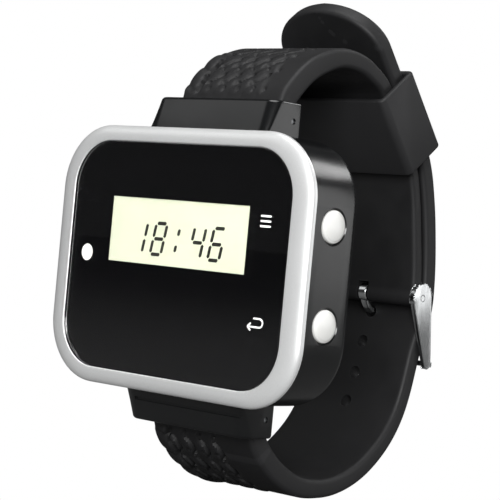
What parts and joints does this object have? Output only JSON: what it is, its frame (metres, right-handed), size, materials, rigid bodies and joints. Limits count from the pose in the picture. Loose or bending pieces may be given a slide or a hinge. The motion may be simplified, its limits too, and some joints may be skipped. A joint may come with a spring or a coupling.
{
  "type": "wrist pager",
  "caption": "Wrist pager with a rounded silver-rimmed case, a small display, two side buttons and a black rubber band with a pin buckle.",
  "frame": {"origin": "middle of the back cover's flat outer face, which rests on the wrist", "axes": "+X towards the side with the buttons, +Y from the window through the back towards the wrist, +Z towards the upper half of the band"},
  "size_m": [0.0536, 0.0532, 0.0794],
  "materials": {
    "bezel_silver": "satin silver paint over moulded ABS",
    "window_clear": "clear acrylic window, polished",
    "window_black": "black screen print behind the window",
    "display_grey": "grey-green reflective display",
    "holder_white": "white moulded ABS",
    "zebra_rubber": "layered conductive silicone",
    "board_green": "green solder mask over glass-epoxy board",
    "chip_black": "black moulded epoxy",
    "shield_tin": "tinned shield can",
    "ferrite": "sintered ferrite rod",
    "copper_wire": "enamelled copper winding",
    "indicator_white": "milky diffusing polycarbonate",
    "battery_foil": "laminated foil pouch",
    "foam_pad": "closed-cell foam tape",
    "motor_steel": "drawn nickel-plated steel",
    "weight_metal": "sintered tungsten alloy",
    "button_white": "moulded white ABS, polished",
    "seal_rubber": "moulded silicone seal",
    "case_black": "black moulded ABS, satin to gloss",
    "screw_steel": "nickel-plated steel screw",
    "contact_gold": "gold-plated contact pin",
    "bar_steel": "turned stainless steel",
    "band_rubber": "moulded black silicone rubber",
    "buckle_steel": "polished stainless steel"
  },
  "bodies": {
    "case": {"bezel": "bezel_silver", "lens": "window_clear", "lens_mask": "window_black", "lcd_glass": "display_grey", "lcd_holder": "holder_white", "zebra_strips": "zebra_rubber", "circuit_board": "board_green", "controller_chip": "chip_black", "radio_module": "shield_tin", "antenna_core": "ferrite", "antenna_coil": "copper_wire", "led_light_pipe": "indicator_white", "indicator_led": "indicator_white", "battery": "battery_foil", "battery_pad": "foam_pad", "vibration_motor": "motor_steel", "motor_bracket": "motor_steel", "switch_housings": "chip_black", "button_seals": "seal_rubber", "rear_case": "case_black", "case_gasket": "seal_rubber", "back_cover": "case_black", "cover_screws": "screw_steel", "charging_contacts": "contact_gold", "upper_spring_bar": "bar_steel", "lower_spring_bar": "bar_steel"},
    "upper_band": {"upper_strap": "band_rubber"},
    "lower_band": {"lower_strap": "band_rubber"},
    "band_keeper": {"keeper": "band_rubber"},
    "buckle": {"buckle_frame": "buckle_steel", "buckle_pin": "buckle_steel"},
    "tongue": {"buckle_tongue": "buckle_steel"},
    "mode_key": {"mode_button": "button_white", "mode_switch_plunger": "holder_white"},
    "return_key": {"return_button": "button_white", "return_switch_plunger": "holder_white"},
    "motor_rotor": {"motor_shaft": "motor_steel", "motor_weight": "weight_metal"},
    "tip_upper_left": {"upper_bar_tip_left": "bar_steel"},
    "tip_upper_right": {"upper_bar_tip_right": "bar_steel"},
    "tip_lower_left": {"lower_bar_tip_left": "bar_steel"},
    "tip_lower_right": {"lower_bar_tip_right": "bar_steel"}
  },
  "joints": [
    {"name": "upper_band_pivot", "type": "hinge", "parent": "case", "child": "upper_band", "pos_m": [0, -0.0024, 0.0226], "axis": [1, 0, 0], "range_deg": [-0.2, 0.2], "stiffness_Nm_per_rad": 1},
    {"name": "lower_band_pivot", "type": "hinge", "parent": "case", "child": "lower_band", "pos_m": [0, -0.0024, -0.0226], "axis": [1, 0, 0], "range_deg": [-0.08, 0.08], "stiffness_Nm_per_rad": 1},
    {"name": "buckle_pivot", "type": "hinge", "parent": "upper_band", "child": "buckle", "pos_m": [0, 0.0345, -0.0028], "axis": [1, 0, 0], "range_deg": [-2, 2]},
    {"name": "tongue_pivot", "type": "hinge", "parent": "buckle", "child": "tongue", "pos_m": [0, 0.0345, -0.0028], "axis": [1, 0, 0], "range_deg": [0, 2]},
    {"name": "keeper_slide", "type": "slide", "parent": "upper_band", "child": "band_keeper", "axis": [0, 0.6293, -0.7771], "range_m": [-0.002, 0.001]},
    {"name": "mode_button_press", "type": "slide", "parent": "case", "child": "mode_key", "axis": [-1, 0, 0], "range_m": [0, 0.0005], "stiffness_N_per_m": 600, "springref_m": -0.0004},
    {"name": "return_button_press", "type": "slide", "parent": "case", "child": "return_key", "axis": [-1, 0, 0], "range_m": [0, 0.0005], "stiffness_N_per_m": 600, "springref_m": -0.0004},
    {"name": "motor_spin", "type": "hinge", "parent": "case", "child": "motor_rotor", "pos_m": [-0.009, -0.0042, -0.0131], "axis": [1, 0, 0], "continuous": true},
    {"name": "upper_tip_left_slide", "type": "slide", "parent": "case", "child": "tip_upper_left", "axis": [1, 0, 0], "range_m": [0, 0.00135], "stiffness_N_per_m": 300, "springref_m": -0.0005},
    {"name": "upper_tip_right_slide", "type": "slide", "parent": "case", "child": "tip_upper_right", "axis": [-1, 0, 0], "range_m": [0, 0.00135], "stiffness_N_per_m": 300, "springref_m": -0.0005},
    {"name": "lower_tip_left_slide", "type": "slide", "parent": "case", "child": "tip_lower_left", "axis": [1, 0, 0], "range_m": [0, 0.00135], "stiffness_N_per_m": 300, "springref_m": -0.0005},
    {"name": "lower_tip_right_slide", "type": "slide", "parent": "case", "child": "tip_lower_right", "axis": [-1, 0, 0], "range_m": [0, 0.00135], "stiffness_N_per_m": 300, "springref_m": -0.0005}
  ],
  "couplings": [
    {"joint": "lower_band_pivot", "follows": "upper_band_pivot", "ratio": 0.3039},
    {"joint": "buckle_pivot", "follows": "upper_band_pivot", "ratio": -9.5455}
  ]
}
